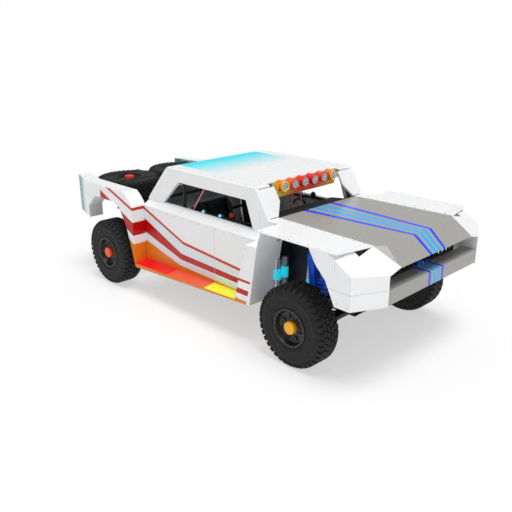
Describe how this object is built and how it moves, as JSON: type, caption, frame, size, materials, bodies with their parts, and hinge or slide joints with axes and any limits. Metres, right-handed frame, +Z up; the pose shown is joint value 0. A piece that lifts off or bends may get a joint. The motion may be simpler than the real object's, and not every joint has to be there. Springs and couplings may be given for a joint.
{
  "type": "desert race truck",
  "caption": "Long-travel desert race truck with open caged cab, wide boxed fenders, lamp row, bed-mounted spares, steered front wheels and freely turning lugged tyres.",
  "frame": {"origin": "on the ground, at the middle of the truck's length and width", "axes": "+X forward, +Y to the left, +Z up"},
  "size_m": [5.582, 2.55, 1.8285],
  "materials": {
    "white_body": "gloss",
    "grey_body": "satin",
    "black_frame": "satin",
    "grille_black": "matte",
    "cab_grey": "matte",
    "engine_metal": "cast",
    "wheel_grip": "matte",
    "seat_cloth": "woven",
    "lamp_shell": "gloss",
    "lamp_glass": "clear",
    "pink_rod": "gloss",
    "damper_blue": "gloss",
    "knuckle_metal": "machined",
    "tyre_rubber": "matte",
    "rim_black": "satin"
  },
  "bodies": {
    "chassis": {"bay_panels": "black_frame", "bed_frame": "black_frame", "bedside_left": "white_body", "bedside_right": "white_body", "brace_rods": "pink_rod", "cab_back": "cab_grey", "cab_side_left": "white_body", "cab_side_right": "white_body", "dashboard": "grille_black", "drive_shaft": "black_frame", "engine": "engine_metal", "fender_left": "white_body", "fender_right": "white_body", "firewall": "black_frame", "floor_pan": "black_frame", "frame_rails": "black_frame", "front_arms": "black_frame", "front_bumper": "grey_body", "front_dampers": "damper_blue", "fuel_cell": "grille_black", "grille": "grille_black", "hood": "grey_body", "lamp_housings": "lamp_shell", "lamp_lenses": "lamp_glass", "light_bar": "lamp_shell", "nose_frame": "black_frame", "rear_axle": "black_frame", "rear_dampers": "damper_blue", "rocker_left": "white_body", "rocker_right": "white_body", "roll_cage": "black_frame", "roof": "white_body", "seat_left": "seat_cloth", "seat_right": "seat_cloth", "side_panel_left": "white_body", "side_panel_right": "white_body", "spare_rack": "black_frame", "spare_rims": "rim_black", "spare_tyres": "tyre_rubber", "steering_wheel": "wheel_grip", "trailing_arms": "black_frame"},
    "knuckle_left": {"knuckle_left": "knuckle_metal"},
    "knuckle_right": {"knuckle_right": "knuckle_metal"},
    "wheel_front_left": {"tyre_front_left": "tyre_rubber", "rim_front_left": "rim_black"},
    "wheel_front_right": {"tyre_front_right": "tyre_rubber", "rim_front_right": "rim_black"},
    "wheel_rear_left": {"tyre_rear_left": "tyre_rubber", "rim_rear_left": "rim_black"},
    "wheel_rear_right": {"tyre_rear_right": "tyre_rubber", "rim_rear_right": "rim_black"}
  },
  "joints": [
    {"name": "steer_left", "type": "hinge", "parent": "chassis", "child": "knuckle_left", "pos_m": [1.795, 0.9, 0.47], "axis": [0, 0, 1], "range_deg": [-30, 30]},
    {"name": "steer_right", "type": "hinge", "parent": "chassis", "child": "knuckle_right", "pos_m": [1.795, -0.9, 0.47], "axis": [0, 0, 1], "range_deg": [-30, 30]},
    {"name": "spin_front_left", "type": "hinge", "parent": "knuckle_left", "child": "wheel_front_left", "pos_m": [1.795, 1.1, 0.47], "axis": [0, 1, 0], "continuous": true},
    {"name": "spin_front_right", "type": "hinge", "parent": "knuckle_right", "child": "wheel_front_right", "pos_m": [1.795, -1.1, 0.47], "axis": [0, 1, 0], "continuous": true},
    {"name": "spin_rear_left", "type": "hinge", "parent": "chassis", "child": "wheel_rear_left", "pos_m": [-1.709, 1.1, 0.47], "axis": [0, 1, 0], "continuous": true},
    {"name": "spin_rear_right", "type": "hinge", "parent": "chassis", "child": "wheel_rear_right", "pos_m": [-1.709, -1.1, 0.47], "axis": [0, 1, 0], "continuous": true}
  ],
  "couplings": [
    {"joint": "steer_right", "follows": "steer_left", "ratio": 1}
  ]
}
